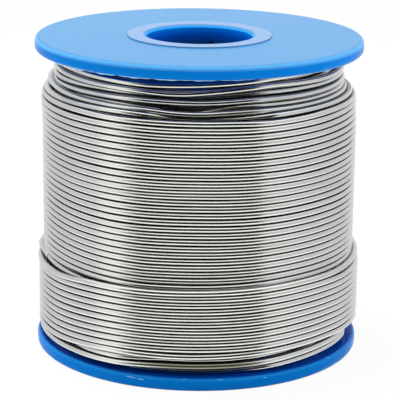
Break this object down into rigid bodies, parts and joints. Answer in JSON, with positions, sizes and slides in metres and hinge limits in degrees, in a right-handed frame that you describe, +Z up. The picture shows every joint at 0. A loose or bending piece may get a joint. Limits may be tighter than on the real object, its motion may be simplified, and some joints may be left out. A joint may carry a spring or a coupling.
{
  "type": "solder wire spool",
  "caption": "Moulded reel with round end flanges and a central spindle bore, wound full of flux-cored solder wire whose free end lies on the winding.",
  "frame": {"origin": "on the axis of the bore, at the underside of the bottom flange, on which the spool stands", "axes": "+Z up the bore, towards the top flange; +X to the right and +Y away from a viewer who faces the front"},
  "size_m": [0.0544, 0.0544, 0.0524],
  "materials": {
    "barrel_plastic": "moulded, lightly glossy",
    "flange_plastic": "moulded, lightly glossy",
    "solder_wire": "drawn, bright tin-lead with faint streaks",
    "flux_resin": "clear amber resin, cut face"
  },
  "bodies": {
    "root": {"barrel": "barrel_plastic", "bottom_flange": "flange_plastic", "top_flange": "flange_plastic", "wire_inner_layers": "solder_wire", "wire_main_layer": "solder_wire", "wire_last_layer": "solder_wire", "wire_free_end": "solder_wire", "wire_start": "solder_wire", "flux_core": "flux_resin"}
  },
  "joints": []
}
